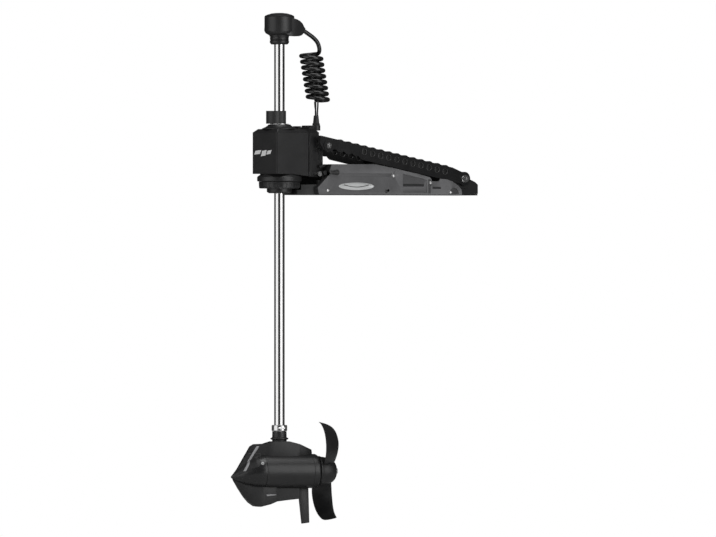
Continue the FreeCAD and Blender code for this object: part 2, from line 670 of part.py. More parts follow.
def shaft_leads():
    """The motor's two heavy leads and its signal lead, inside the shaft."""
    leads = []
    for n, r in enumerate((3.4, 3.4, 2.2)):
        angle = math.radians(120 * n + 20)
        x, y = 6.2 * math.cos(angle), 6.2 * math.sin(angle)
        leads.append(rod(r, (x, y, SHAFT_BOTTOM_Z + 4), (x, y, SHAFT_TOP_Z + 5)))
    return Part.makeCompound(leads)


def neck_clamp():
    """The split clamp that holds the head on the shaft."""
    ring = turned([(SHAFT_R + FIT, 429), (23, 429), (27.5, 434), (27.5, 440), (25.5, 441.5),
                   (27, 443), (27, 448.8), (SHAFT_R + FIT, 448.8)])
    slit = box((10, 30), (-0.7, 0.7), (428, 450))
    return ring.cut([slit, *neck_screws(FIT)])


def neck_screws(grow=0.0):
    """The two screws across the neck clamp's slit."""
    return [rod(2.2 + grow, (24.6, -8.5, z), (24.6, 8.5, z)) for z in (435.5, 445.5)]


def foot_screw(grow=0.0):
    """The bolt across the slit of the clamp ring at the shaft's foot."""
    return rod(3.0 + grow, (-9.5, -20.6, -664.5), (9.5, -20.6, -664.5))


def head_outer():
    drum = turned([(0, 449), (26.5, 449), (29, 455), (39.5, 461), (HEAD_R + 0.6, 468),
                   (HEAD_R + 0.6, 472), (HEAD_R, 480), (HEAD_R, HEAD_RIM_Z), (0, HEAD_RIM_Z)])
    tail = side_plate([(10, 458), (30, 454), (52, 452.5), (63, 455.5), (71, 463), (73.5, 474),
                       (70, 482), (64, 490), (55, 496.5), (44, 501), (30, 504), (10, 505)],
                      (-36, 36))
    plan = flat_plate(lens([(10, 35.5), (24, 34.5), (36, 30.5), (48, 24.5), (60, 17), (68, 12),
                            (74, 8.5)]), (440, 510))
    return joined([drum, tail.common(plan)])


def head_shell():
    """The head's lower shell: a round pan with a tail that leads the cord out."""
    room = turned([(0, 470), (30, 467), (38.8, 472), (38.8, 510), (0, 510)])
    socket = rod(SHAFT_R + FIT, (0, 0, 440), (0, 0, 464))
    leads = rod(12, (0, 0, 460), (0, 0, 475))
    duct = rod(5.0, (20, 0, 480), (78, 0, 464.6))
    seat = rod(9.2, *gland_ends(0.0, 30.0))
    return head_outer().cut([room, socket, leads, duct, seat])


def gland_ends(start, end):
    """Two points along the direction in which the cord leaves the head."""
    slope = math.atan2(-9.0, 14.0)
    base = (66.0, 0, 472.7)
    return [(base[0] + d * math.cos(slope), 0, base[2] + d * math.sin(slope))
            for d in (start, end)]


def head_gland():
    """The ring nut where the cord leaves the head."""
    return rod(9.1, *gland_ends(0.1, 7.6)).cut(rod(3.4, *gland_ends(-1, 7.0)))


def head_cap():
    profile = [(0, HEAD_RIM_Z + 1.1), (HEAD_R - 0.4, HEAD_RIM_Z + 1.1), (HEAD_R - 3, 511.5),
               (34, 514), (22, 517.5), (10, 518.8), (0, 519)]
    return turned(profile)


def head_board():
    disc = rod(36, (0, 0, 484), (0, 0, 485.6)).cut(rod(6, (0, 0, 480), (0, 0, 490)))
    chips = [box((x, x + 14), (y, y + 10), (485.6, 491))
             for x, y in ((-28, -8), (12, -20), (10, 8), (-12, 14))]
    posts = [rod(3, (30, 0, 469), (30, 0, 484)) for _ in range(3)]
    for n, post in enumerate(posts):
        post.rotate(Vector(0, 0, 0), Vector(0, 0, 1), 60 + 120 * n)
    return joined([disc, *chips, *posts])


# --- lower unit ---------------------------------------------------------------------------
def clamp_ring():
    """The bright clamp ring at the foot of the shaft."""
    ring = turned([(SHAFT_R + FIT, -673.5), (20.5, -673.5), (22.2, -671), (22.2, -658),
                   (21, -655.5), (SHAFT_R + FIT, -655.5)])
    return ring.cut([box((-1.0, 1.0), (-30, -10), (-680, -650)), foot_screw(FIT)])


def coupling():
    """The black coupling between the shaft and the lower unit."""
    body = turned([(SHAFT_R + FIT, -703), (20.5, -703), (21, -697.5), (25.6, -696), (25.6, -692.5),
                   (20.8, -691), (20.4, -673.8), (SHAFT_R + FIT, -673.8)])
    return body


def motor_shell():
    return turned([(MOTOR_FRONT_X, MOTOR_BORE_R), (MOTOR_FRONT_X, MOTOR_R - 0.6),
                   (MOTOR_FRONT_X + 0.6, MOTOR_R), (MOTOR_BACK_X, MOTOR_R),
                   (MOTOR_BACK_X, MOTOR_BORE_R)], along_x=True)


def tail_bell():
    """The aft end bell, with the seat of the rear bearing and seal."""
    x0, x1 = MOTOR_BACK_X + 0.05, BELL_BACK_X
    return turned([(x0, 11.05), (x0, MOTOR_R), (x1 - 6, MOTOR_R), (x1 - 1.5, 46.5), (x1, 43),
                   (x1, 11.05)], along_x=True)


def ring_about_axle(outer, inner, x0, x1):
    return pipe(outer, inner, (x0, 0, MOTOR_Z), (x1, 0, MOTOR_Z))


def brush_plate():
    """The bulkhead behind the nose, with a guide for each brush."""
    plate = ring_about_axle(MOTOR_BORE_R - FIT, 11 + FIT, MOTOR_FRONT_X, MOTOR_FRONT_X + 8)
    guides, slots = [], []
    for side in (1, -1):
        guides.append(box((-42, -22.5), (-7, 7), (MOTOR_Z + side * 15, MOTOR_Z + side * 34)))
        slots.append(box((-34.2, -24.8), (-4.2, 4.2), (MOTOR_Z + side * 14, MOTOR_Z + side * 30)))
    return joined([plate, *guides]).cut(slots)


def motor_bearings():
    return Part.makeCompound([
        ring_about_axle(11, AXLE_R + RUN, MOTOR_FRONT_X + 0.5, MOTOR_FRONT_X + 7.5),
        ring_about_axle(11, AXLE_R + RUN, MOTOR_BACK_X + 1, MOTOR_BACK_X + 9)])


def seals():
    """The axle's seal and the gasket under the head's cap."""
    lip = ring_about_axle(11, AXLE_R + RUN, MOTOR_BACK_X + 12, BELL_BACK_X - 1)
    gasket = pipe(HEAD_R - 0.8, 39, (0, 0, HEAD_RIM_Z + 0.05), (0, 0, HEAD_RIM_Z + 1.05))
    return Part.makeCompound([lip, gasket])


def field_magnets():
    """Two curved magnets against the shell's bore."""
    ring = ring_about_axle(MOTOR_BORE_R - FIT, 36, -24, 72)
    gap = box((-25, 73), (-60, 60), (MOTOR_Z - 9, MOTOR_Z + 9))
    return ring.cut(gap)


def armature():
    """The wound armature, with its slots, and the commutator in front of it."""
    core = ring_about_axle(33, AXLE_R + FIT, -20, 66)
    slots = []
    for n in range(12):
        slot = box((-21, 67), (-2, 2), (MOTOR_Z + 20, MOTOR_Z + 34))
        slot.rotate(Vector(0, 0, MOTOR_Z), Vector(1, 0, 0), 30.0 * n)
        slots.append(slot)
    return joined([core.cut(slots), ring_about_axle(12, AXLE_R + FIT, -36, -20)])


def brushes():
    up = box((-34, -25), (-4, 4), (MOTOR_Z + 12.4, MOTOR_Z + 24))
    down = box((-34, -25), (-4, 4), (MOTOR_Z - 24, MOTOR_Z - 12.4))
    return Part.makeCompound([up, down])


def prop_axle():
    return rod(AXLE_R, (MOTOR_FRONT_X + 1, 0, MOTOR_Z), (HUB_BACK_X + 8, 0, MOTOR_Z))


def circle_at(x, r, z):
    return Part.Wire(Part.Circle(Vector(x, 0, z), Vector(1, 0, 0), r).toShape())


NOSE_SECTIONS = [(MOTOR_FRONT_X - 0.1, MOTOR_R - 0.6, MOTOR_Z), (-78, 43.5, -789.5),
                 (-104, 31.5, -794.5), (-128, 16, -800), (-144.5, 2.5, -803.5)]


def nose_outer():
    return Part.makeLoft([circle_at(*s) for s in NOSE_SECTIONS], True, False)


def nose_cone():
    """The hollow nose of the lower unit."""
    room = [(x, r - 5, z) for x, r, z in NOSE_SECTIONS[:4]]
    room[0] = (MOTOR_FRONT_X + 1, MOTOR_R - 6, MOTOR_Z)
    return nose_outer().cut(Part.makeLoft([circle_at(*s) for s in room], True, False))


def lens(points):
    """An outline symmetric about y = 0 from its (x, half width) stations."""
    return [*[(x, w) for x, w in points], *[(x, -w) for x, w in reversed(points) if w]]


def motor_room():
    """The space of the motor and nose, which the fairings wrap round."""
    body = rod(MOTOR_R + FIT, (MOTOR_FRONT_X - 1, 0, MOTOR_Z), (BELL_BACK_X, 0, MOTOR_Z))
    return [body, nose_outer()]


def pylon():
    """The upper fairing, from the nose's tip over the motor to its tail."""
    outline = [(-139, -800), (-87, -716.5), (-75, -710), (-46, -709), (-22, -702),
               (23, -702), (55, -710), (92, -725.6), (93.5, -733), (93.5, -770), (-100, -800)]
    plan = flat_plate(lens([(-141, 2.5), (-90, 10), (-34, 24), (12, 27), (56, 23), (94, 12)]),
                      (-810, -700))
    body = side_plate(outline, (-30, 30)).common(plan)
    return body.cut([*motor_room(), rod(20.6, (0, 0, -703.2), (0, 0, -690)),
                     rod(SHAFT_R, (0, 0, -760), (0, 0, -700))])


def keel():
    """The lower fairing, under the nose."""
    outline = [(-142, -808), (-125, -835), (-107, -860), (-92, -876), (-75, -887), (-61, -888.5),
               (-31, -881.5), (-12, -874), (-12, -826), (-110, -804)]
    plan = flat_plate(lens([(-140, 2.5), (-96, 12), (-52, 19), (-12, 15)]), (-900, -790))
    return side_plate(outline, (-30, 30)).common(plan).cut(motor_room())


def skeg_rail():
    """The flat rail under the motor that carries the skeg."""
    outline = [(-11.9, -826), (-11.9, -873.9), (20, -870), (58, -866), (58, -826)]
    return side_plate(outline, (-8, 8)).cut(motor_room())


def skeg():
    outline = [(58.2, -829), (58.2, -866), (66, -937), (89, -934), (86, -829)]
    return side_plate(outline, (-3.2, 3.2)).cut(motor_room())


# --- propeller ----------------------------------------------------------------------------
BLADE_STATIONS = [
    # radius, middle x, middle angle (degrees), chord, pitch angle (degrees), thickness
    (34, 141, 48, 46, 60, 9.0), (60, 142, 44, 60, 52, 7.0), (85, 143, 34, 68, 47, 6.0),
    (110, 143, 16, 64, 45, 5.0), (130, 142, -4, 50, 46, 4.2),
    (141, 140.5, -15, 36, 50, 3.4), (PROP_R - 1, 139, -20, 14, 52, 2.0),
]


def blade():
    """One weedless blade, lofted through flat sections square to its radius."""
    wires = []
    for r, x, lean, chord, pitch, thick in BLADE_STATIONS:
        p = math.radians(pitch)
        ring = []
        for n in range(10):
            t = 2 * math.pi * n / 10
            c, h = chord / 2 * math.cos(t), thick / 2 * math.sin(t)
            ring.append(Vector(x + c * math.sin(p) - h * math.cos(p),
                               c * math.cos(p) + h * math.sin(p), r))
        spun = polygon(ring)
        spun.rotate(Vector(0, 0, 0), Vector(1, 0, 0), lean)
        spun.translate(Vector(0, 0, MOTOR_Z))
        wires.append(spun)
    return Part.makeLoft(wires, True, True)


def propeller():
    """The hub and its two blades, moulded in one."""
    hub = turned([(BELL_BACK_X + 2, AXLE_R + FIT), (BELL_BACK_X + 2, 41), (BELL_BACK_X + 4, 43),
                  (BELL_BACK_X + 9, 43), (BELL_BACK_X + 11, 41), (142, 38), (158, 31),
                  (HUB_BACK_X, 20.5), (HUB_BACK_X, AXLE_R + FIT)], along_x=True)
    first = blade()
    second = first.copy()
    second.rotate(Vector(0, 0, MOTOR_Z), Vector(1, 0, 0), 180)
    pin_slot = rod(2.05, (PIN_X, 0, MOTOR_Z - 14), (PIN_X, 0, MOTOR_Z + 14))
    bore = rod(AXLE_R + FIT, (120, 0, MOTOR_Z), (180, 0, MOTOR_Z))
    return joined([hub, first, second]).cut([pin_slot, bore])


def drive_pin():
    pin = rod(2.0, (PIN_X, 0, MOTOR_Z - 13.8), (PIN_X, 0, MOTOR_Z + 13.8))
    return pin.cut(rod(AXLE_R + FIT, (PIN_X - 5, 0, MOTOR_Z), (PIN_X + 5, 0, MOTOR_Z)))


def prop_nut():
    """The flanged nut behind the propeller."""
    corners = [math.radians(60 * n) for n in range(6)]
    start = HUB_BACK_X + 1.6
    flats = [Vector(start, 9 * math.cos(a), MOTOR_Z + 9 * math.sin(a)) for a in corners]
    nut = Part.Face(polygon(flats)).extrude(Vector(5, 0, 0))
    flange = ring_about_axle(11, AXLE_R + FIT, HUB_BACK_X + 0.1, start)
    return joined([flange, nut]).cut(rod(AXLE_R + FIT, (start - 5, 0, MOTOR_Z), (190, 0, MOTOR_Z)))


# --- everything ---------------------------------------------------------------------------
def save_deck_mount():
    save("base_channel", base_channel())
    save("front_cradle", front_cradle())
    save("side_cover_left", side_cover())
    save("side_cover_right", mirrored(side_cover()))
    heads = cover_screws()
    save("cover_screws", Part.makeCompound([*heads, *[mirrored(h) for h in heads]]))
    save("rear_pivot_block", rear_block())
    save("mount_pins", mount_pins())
    save("power_cable_gland", power_gland())
    save("latch_lever", latch_lever())


def save_linkage():
    arm = upper_arm()
    save("upper_arm_left", arm)
    save("upper_arm_right", mirrored(arm))
    save("arm_rear_bushes", arm_bushes())
    save("arm_cross_tubes", cross_tubes())
    save("front_pivot_axle", front_axle())
    save("lower_links", lower_links())


def save_housing():
    save("housing_shell", housing_shell())
    save("housing_lid", housing_lid())
    save("housing_bushes", housing_bushes())
    save("turret_neck", turret_neck())
    save("steering_motor_can", steering_motor_can())
    save("steering_board", steering_board())
    save("steering_pinion", steering_pinion())
    save("catch_bolt", catch_bolt())
    save("cord_boot", cord_boot())
    save("cord_wires", split_wires())


def save_steered():
    save("steering_sleeve", sleeve())
    save("sleeve_bushes", sleeve_bushes())
    save("steering_gear", steering_gear())
    save("turret_ring", turret_ring(), steered=True)
    save("depth_collar", collar(), steered=True)
    save("shaft_tube", shaft_tube())
    save("shaft_leads", shaft_leads(), steered=True)
    save("neck_clamp", neck_clamp(), steered=True)
    save("clamp_screws", Part.makeCompound([*neck_screws(), foot_screw()]), steered=True)
    save("head_shell", head_shell(), steered=True)
    save("head_cap", head_cap(), steered=True)
    save("head_board", head_board(), steered=True)
    save("head_cord_gland", head_gland(), steered=True)
    save("seals", seals(), steered=True)


def save_cord():
    save("cord_upper_lead", routed_tube("upper lead", UPPER_LEAD, CORD_R), steered=True)
    save("curly_cord_upper", coil_half(COIL_TOP, COIL_MIDDLE), steered=True)
    save("curly_cord_lower", coil_half(COIL_MIDDLE, COIL_BOTTOM), steered=True)


def save_lower_unit():
    save("shaft_clamp_ring", clamp_ring(), steered=True)
    save("shaft_coupling", coupling(), steered=True)
    save("pylon_fairing", pylon(), steered=True)
    save("nose_cone", nose_cone(), steered=True)
    save("keel_fairing", keel(), steered=True)
    save("skeg_rail", skeg_rail(), steered=True)
    save("skeg", skeg(), steered=True)
    save("motor_shell", motor_shell(), steered=True)
    save("tail_bell", tail_bell(), steered=True)
    save("motor_bearings", motor_bearings(), steered=True)
    save("field_magnets", field_magnets(), steered=True)
    save("brush_plate", brush_plate(), steered=True)
    save("brushes", brushes(), steered=True)
    save("armature", armature(), steered=True)
    save("propeller_axle", prop_axle(), steered=True)
    save("propeller", propeller(), steered=True)
    save("drive_pin", drive_pin(), steered=True)
    save("propeller_nut", prop_nut(), steered=True)


save_deck_mount()
save_linkage()
save_housing()
save_steered()
save_cord()
save_lower_unit()
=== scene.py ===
"""The looks of the bow-mount trolling motor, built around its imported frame, in metres."""
import math
import bpy
import bmesh
from mathutils import Matrix, Vector


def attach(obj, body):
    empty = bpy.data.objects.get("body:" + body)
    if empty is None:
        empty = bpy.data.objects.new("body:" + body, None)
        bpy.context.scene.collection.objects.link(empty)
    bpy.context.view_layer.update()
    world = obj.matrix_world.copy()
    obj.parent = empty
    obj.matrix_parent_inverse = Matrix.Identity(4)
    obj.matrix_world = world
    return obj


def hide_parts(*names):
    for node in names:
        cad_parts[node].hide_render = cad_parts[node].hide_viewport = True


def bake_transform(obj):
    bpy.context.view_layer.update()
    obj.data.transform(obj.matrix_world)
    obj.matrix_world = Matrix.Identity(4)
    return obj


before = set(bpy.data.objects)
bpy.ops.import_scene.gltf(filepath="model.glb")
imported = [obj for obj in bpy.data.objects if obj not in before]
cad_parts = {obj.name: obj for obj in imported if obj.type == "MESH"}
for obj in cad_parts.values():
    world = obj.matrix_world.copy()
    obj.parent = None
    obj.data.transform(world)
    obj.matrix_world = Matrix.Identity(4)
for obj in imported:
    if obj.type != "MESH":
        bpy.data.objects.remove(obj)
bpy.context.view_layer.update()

MM = 0.001
DECK_X = 380.0 * MM           # the deck bolts' centre, aft of the steering axis
STEER_REST = -22.0            # the shaft's turn from straight ahead, in degrees
MOTOR_Z = -787.0              # height of the motor's axle, in millimetres
COVER_FACE = 76.0 * MM        # the covers' outer faces, out from the middle plane
SIDES = (("right", -1), ("left", 1))


# --- places --------------------------------------------------------------------------------------
def fixed(x, y, z):
    """A point of the deck mount or housing, from millimetres aft of the steering axis."""
    return Vector((x * MM - DECK_X, y * MM, z * MM))


def steered(x, y, z):
    """A point of the shaft or lower unit, from millimetres in its own straight-ahead frame."""
    turned = Matrix.Rotation(math.radians(STEER_REST), 3, "Z") @ Vector((x, y, z))
    return fixed(*turned)


# --- camera --------------------------------------------------------------------------------------
VIEW_TURN = math.radians(40)
VIEW_WIDTH = 2.0406           # width of the view at the object
VIEW_DISTANCE = 60.0
RIGHT = Vector((math.cos(VIEW_TURN), -math.sin(VIEW_TURN), 0))
FORWARD = Vector((math.sin(VIEW_TURN), math.cos(VIEW_TURN), 0))
AIM_Z = -209.5                # height of the view's middle, in millimetres
AIM_RIGHT = 0.224             # the view's middle, to the right of the shaft
AIM = fixed(0, 0, AIM_Z) + AIM_RIGHT * RIGHT


def make_camera():
    """A long lens, level with the object, that sees its front and its right-hand side."""
    data = bpy.data.cameras.new("camera")
    data.sensor_width = 36
    data.lens = data.sensor_width * VIEW_DISTANCE / VIEW_WIDTH
    data.clip_end = 200
    camera = bpy.data.objects.new("camera", data)
    camera.location = AIM - FORWARD * VIEW_DISTANCE
    camera.rotation_euler = FORWARD.to_track_quat("-Z", "Y").to_euler()
    bpy.context.scene.collection.objects.link(camera)
    bpy.context.scene.camera = camera


# --- lights, world and floor ---------------------------------------------------------------------
SOFTBOX_AIM_Z = -0.2
WORLD_GREY = 0.06             # the dim light from all round
FLOOR_R, FLOOR_Z = 1.3, -1.0
FLOOR_GREY = 0.75


def softbox(name, bearing, height, distance, size, radiance):
    """An area light aimed at the object, by its bearing and height in degrees from the camera."""
    a, e = math.radians(bearing), math.radians(height)
    across = math.cos(a) * -FORWARD + math.sin(a) * RIGHT
    away = across * math.cos(e) + Vector((0, 0, 1)) * math.sin(e)
    centre = Vector((AIM.x, AIM.y, SOFTBOX_AIM_Z))
    data = bpy.data.lights.new(name, "AREA")
    data.shape = "RECTANGLE"
    data.size, data.size_y = size
    data.energy = radiance * math.pi * size[0] * size[1]
    light = bpy.data.objects.new(name, data)
    light.location = centre + away * distance
    light.rotation_euler = (-away).to_track_quat("-Z", "Y").to_euler()
    light.visible_camera = False
    bpy.context.scene.collection.objects.link(light)


def camera_sees(tree, lit, seen, target):
    """Shows the camera one shader, while the light meets another."""
    path = tree.nodes.new("ShaderNodeLightPath")
    mix = tree.nodes.new("ShaderNodeMixShader")
    tree.links.new(path.outputs["Is Camera Ray"], mix.inputs["Fac"])
    tree.links.new(lit.outputs[0], mix.inputs[1])
    tree.links.new(seen.outputs[0], mix.inputs[2])
    tree.links.new(mix.outputs[0], target.inputs["Surface"])


def make_studio():
    """Three softboxes in front of a white background."""
    softbox("right_softbox", 43, 0, 2.6, (1.9, 3.4), 2.3)
    softbox("left_softbox", -59, 0, 2.6, (2.5, 3.4), 1.1)
    softbox("top_softbox", 10, 72, 2.2, (1.6, 1.6), 3.2)
    world = bpy.data.worlds.new("studio")
    bpy.context.scene.world = world
    world.use_nodes = True
    tree = world.node_tree
    tree.nodes.clear()
    seen, dim = (tree.nodes.new("ShaderNodeBackground") for _ in range(2))
    seen.inputs["Color"].default_value = (1, 1, 1, 1)
    dim.inputs["Color"].default_value = (WORLD_GREY, WORLD_GREY, WORLD_GREY, 1)
    camera_sees(tree, dim, seen, tree.nodes.new("ShaderNodeOutputWorld"))
    bpy.context.scene.view_settings.view_transform = "Standard"


def make_floor():
    """A small pale floor below the propeller, plain white to the camera."""
    build = bmesh.new()
    bmesh.ops.create_circle(build, cap_ends=True, segments=64, radius=FLOOR_R)
    mesh = bpy.data.meshes.new("floor")
    build.to_mesh(mesh)
    floor = bpy.data.objects.new("floor", mesh)
    floor.location = (AIM.x, AIM.y, FLOOR_Z)
    bpy.context.scene.collection.objects.link(floor)
    material = bpy.data.materials.new("floor_white")
    material.use_nodes = True
    tree = material.node_tree
    shade = tree.nodes["Principled BSDF"]
    shade.inputs["Base Color"].default_value = (FLOOR_GREY, FLOOR_GREY, FLOOR_GREY, 1)
    shade.inputs["Roughness"].default_value = 0.8
    glow = tree.nodes.new("ShaderNodeEmission")
    camera_sees(tree, shade, glow, tree.nodes["Material Output"])
    mesh.materials.append(material)


# --- materials -----------------------------------------------------------------------------------
MATERIALS = {}
CLOUD_SCALE = 24.0            # patches of the mottled colour and gloss, per metre
WORN_EDGE = (0.53, 0.62)      # how sharp an edge is where wear starts and where it is full
PAINTED_SHADE_REMAINDER = 0.12             # painted shade: the share of the colour left at the bottom of a hollow
GRAIN_HEIGHT = 0.6 * MM


def noise(tree, place, scale, detail):
    """Noise at a place, with a scale and a level of detail."""
    node = tree.nodes.new("ShaderNodeTexNoise")
    node.inputs["Scale"].default_value = scale
    node.inputs["Detail"].default_value = detail
    tree.links.new(place, node.inputs["Vector"])
    return node.outputs["Fac"]


def ranged(tree, value, given=(0.0, 1.0), wanted=(0.0, 1.0)):
    """A value taken from one range to another."""
    node = tree.nodes.new("ShaderNodeMapRange")
    node.inputs["From Min"].default_value, node.inputs["From Max"].default_value = given
    node.inputs["To Min"].default_value, node.inputs["To Max"].default_value = wanted
    tree.links.new(value, node.inputs["Value"])
    return node.outputs["Result"]


def colour_mix(tree, factor, **ends):
    """A mix of A and B, each a colour or another node's output."""
    node = tree.nodes.new("ShaderNodeMix")
    node.data_type = "RGBA"
    tree.links.new(factor, node.inputs["Factor"])
    for name, end in ends.items():
        if isinstance(end, list):
            node.inputs[name].default_value = (*end, 1)
        else:
            tree.links.new(end, node.inputs[name])
    return node.outputs["Result"]


def distance_out(tree, place):
    """How far a place is from the object's middle plane."""
    apart = tree.nodes.new("ShaderNodeSeparateXYZ")
    tree.links.new(place, apart.inputs[0])
    outward = tree.nodes.new("ShaderNodeMath")
    outward.operation = "ABSOLUTE"
    tree.links.new(apart.outputs["Y"], outward.inputs[0])
    return outward.outputs[0]


def surface(name, colour, rough, metallic=0.0, grain=900.0, bump=0.12, mottle=0.25, wear=0.0,
            painted_hollow_shade=None, uneven=0.07):
    """A material with mottled colour, uneven gloss, a fine grain, lighter worn edges and, where
    asked, painted shade in its hollows.

    painted_hollow_shade holds the distances out from the middle plane where the painted shade
    of a hollow is darkest and where it ends."""
    material = bpy.data.materials.new(name)
    material.use_nodes = True
    tree = material.node_tree
    shade = tree.nodes["Principled BSDF"]
    shade.inputs["Metallic"].default_value = metallic
    place = tree.nodes.new("ShaderNodeTexCoord").outputs["Object"]
    cloud = noise(tree, place, CLOUD_SCALE, 4.0)
    result = colour_mix(tree, cloud, A=[c * (1 - mottle) for c in colour],
                        B=[min(1, c * (1 + mottle)) for c in colour])
    if wear:
        sharp = tree.nodes.new("ShaderNodeNewGeometry").outputs["Pointiness"]
        worn = ranged(tree, sharp, given=WORN_EDGE, wanted=(0.0, wear))
        result = colour_mix(tree, worn, A=result, B=[min(1, c * 2.5 + 0.03) for c in colour])
    # painted shade: the colour darkens towards the bottom of a hollow, by distance from the middle
    # plane
    if painted_hollow_shade:
        depth = ranged(tree, distance_out(tree, place), given=painted_hollow_shade)
        result = colour_mix(tree, depth, A=[c * PAINTED_SHADE_REMAINDER for c in colour], B=result)
    tree.links.new(result, shade.inputs["Base Color"])
    gloss = ranged(tree, cloud, wanted=(rough - uneven, rough + uneven))
    tree.links.new(gloss, shade.inputs["Roughness"])
    relief = tree.nodes.new("ShaderNodeBump")
    relief.inputs["Strength"].default_value = bump
    relief.inputs["Distance"].default_value = GRAIN_HEIGHT
    tree.links.new(noise(tree, place, grain, 3.0), relief.inputs["Height"])
    tree.links.new(relief.outputs["Normal"], shade.inputs["Normal"])
    MATERIALS[name] = material


def make_materials():
    """Every finish: its colour and roughness, then how metallic it is, and its grain and bump."""
    surface("base_paint", (0.007, 0.007, 0.0075), 0.55, grain=700, bump=0.25, wear=0.4)
    # painted shade in the covers' recesses: darkest 2.9 mm in from the outer face, gone 0.7 mm in
    surface("cover_grey", (0.1, 0.1, 0.103), 0.46, grain=1300, bump=0.3, wear=0.35,
            painted_hollow_shade=(COVER_FACE - 2.9 * MM, COVER_FACE - 0.7 * MM))
    surface("arm_paint", (0.008, 0.008, 0.0085), 0.36, grain=650, bump=0.25, wear=0.6)
    surface("housing_black", (0.013, 0.013, 0.0135), 0.4, grain=1500, bump=0.18, wear=0.3)
    surface("black_plastic", (0.016, 0.016, 0.0165), 0.4, grain=1100, bump=0.2, wear=0.3)
    surface("collar_plastic", (0.017, 0.017, 0.017), 0.5, grain=900, bump=0.3, wear=0.3)
    surface("fairing_plastic", (0.013, 0.013, 0.0135), 0.5, grain=1000, bump=0.25, wear=0.25)
    surface("motor_black", (0.017, 0.017, 0.0175), 0.36, grain=1200, bump=0.18, wear=0.25)
    surface("propeller_plastic", (0.012, 0.012, 0.0125), 0.42, grain=800, bump=0.22, wear=0.25)
    surface("shaft_steel", (0.78, 0.78, 0.78), 0.11, 1.0, 260, 0.0, 0.03, uneven=0.006)
    surface("bright_steel", (0.72, 0.72, 0.72), 0.24, 1.0, 700, 0.1, 0.08)
    surface("bearing_bronze", (0.42, 0.27, 0.12), 0.34, 1.0, 700, 0.1, 0.15)
    surface("gear_plastic", (0.6, 0.58, 0.5), 0.45, grain=900, bump=0.15)
    surface("board_green", (0.02, 0.12, 0.05), 0.4, grain=300, bump=0.15)
    surface("lead_red", (0.35, 0.02, 0.02), 0.4, grain=600, bump=0.1)
    surface("winding_copper", (0.55, 0.24, 0.1), 0.35, 1.0, 500, 0.3, 0.2)
    surface("magnet_iron", (0.06, 0.06, 0.065), 0.5, 0.6, 600, 0.2)
    surface("cord_rubber", (0.01, 0.01, 0.01), 0.2, grain=1500, bump=0.08, mottle=0.2)
    surface("screw_zinc", (0.8, 0.8, 0.8), 0.3, 1.0, 700, 0.08, 0.08)
    surface("bush_nylon", (0.02, 0.02, 0.021), 0.45, grain=900, bump=0.1)
    surface("stripe_grey", (0.36, 0.36, 0.37), 0.45, grain=1200, bump=0.1, mottle=0.12)
    surface("mark_white", (0.85, 0.85, 0.85), 0.4, grain=1200, bump=0.05, mottle=0.05)
    surface("badge_silver", (0.62, 0.63, 0.63), 0.38, 0.15, 500, 0.1, 0.12)
    surface("rim_metal", (0.09, 0.09, 0.09), 0.36, 0.6, 700, 0.1, 0.1)
    # painted shade: a near-black finish for the discs that darken the arms' pockets
    surface("pocket_shade_black", (0.0025, 0.0025, 0.0025), 0.7, grain=700, bump=0.2)
    surface("nose_black", (0.017, 0.017, 0.0175), 0.27, grain=1200, bump=0.1, wear=0.2)
    surface("badge_dark", (0.03, 0.03, 0.03), 0.45, grain=900, bump=0.1)


# --- the frame's own pieces ----------------------------------------------------------------------
FINISH = {
    "cover_grey": ("side_cover_left", "side_cover_right"),
    "base_paint": ("base_channel", "front_cradle", "rear_pivot_block", "skeg_rail"),
    "arm_paint": ("upper_arm_left", "upper_arm_right", "lower_links", "arm_cross_tubes"),
    "housing_black": ("housing_shell", "housing_lid", "turret_neck"),
    "black_plastic": ("turret_ring", "head_shell", "head_cap", "neck_clamp", "head_cord_gland",
                      "power_cable_gland", "latch_lever", "cord_boot", "shaft_coupling", "seals",
                      "brush_plate"),
    "collar_plastic": ("depth_collar",),
    "fairing_plastic": ("pylon_fairing", "keel_fairing", "skeg"),
    "motor_black": ("motor_shell", "tail_bell", "steering_motor_can"),
    "nose_black": ("nose_cone",),
    "propeller_plastic": ("propeller",),
    "shaft_steel": ("shaft_tube", "steering_sleeve"),
    "bright_steel": ("cover_screws", "mount_pins", "front_pivot_axle", "catch_bolt",
                     "clamp_screws", "shaft_clamp_ring", "propeller_axle", "drive_pin",
                     "propeller_nut", "motor_bearings", "arm_rear_bushes"),
    "bearing_bronze": ("sleeve_bushes",),
    "bush_nylon": ("housing_bushes",),
    "gear_plastic": ("steering_gear", "steering_pinion"),
    "board_green": ("steering_board", "head_board"),
    "lead_red": ("shaft_leads",),
    "winding_copper": ("armature",),
    "magnet_iron": ("field_magnets", "brushes"),
    "cord_rubber": ("cord_wires", "curly_cord_lower", "curly_cord_upper", "cord_upper_lead"),
}
EDGE_R = {"cover_grey": 1.0, "housing_black": 1.4, "fairing_plastic": 1.6, "arm_paint": 0.7,
          "base_paint": 0.8, "black_plastic": 0.7, "motor_black": 0.8}    # in millimetres
OTHER_EDGE_R = 0.35
EDGE_ANGLE = math.radians(32)
SMOOTH_FINISHES = ("fairing_plastic",)


def dress(node, finish):
    """Gives a node its material and softens its edges."""
    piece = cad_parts[node]
    piece.data.materials.clear()
    piece.data.materials.append(MATERIALS[finish])
    normals = piece.data.attributes.get("custom_normal")
    if normals:
        piece.data.attributes.remove(normals)
    for face in piece.data.polygons:
        face.use_smooth = True
    weld = piece.modifiers.new("weld", "WELD")
    weld.merge_threshold = 0.01 * MM
    bevel = piece.modifiers.new("edges", "BEVEL")
    bevel.width = EDGE_R.get(finish, OTHER_EDGE_R) * MM
    bevel.segments = 2
    bevel.limit_method = "ANGLE"
    bevel.angle_limit = EDGE_ANGLE
    if finish not in SMOOTH_FINISHES:
        piece.modifiers.new("shading", "WEIGHTED_NORMAL")


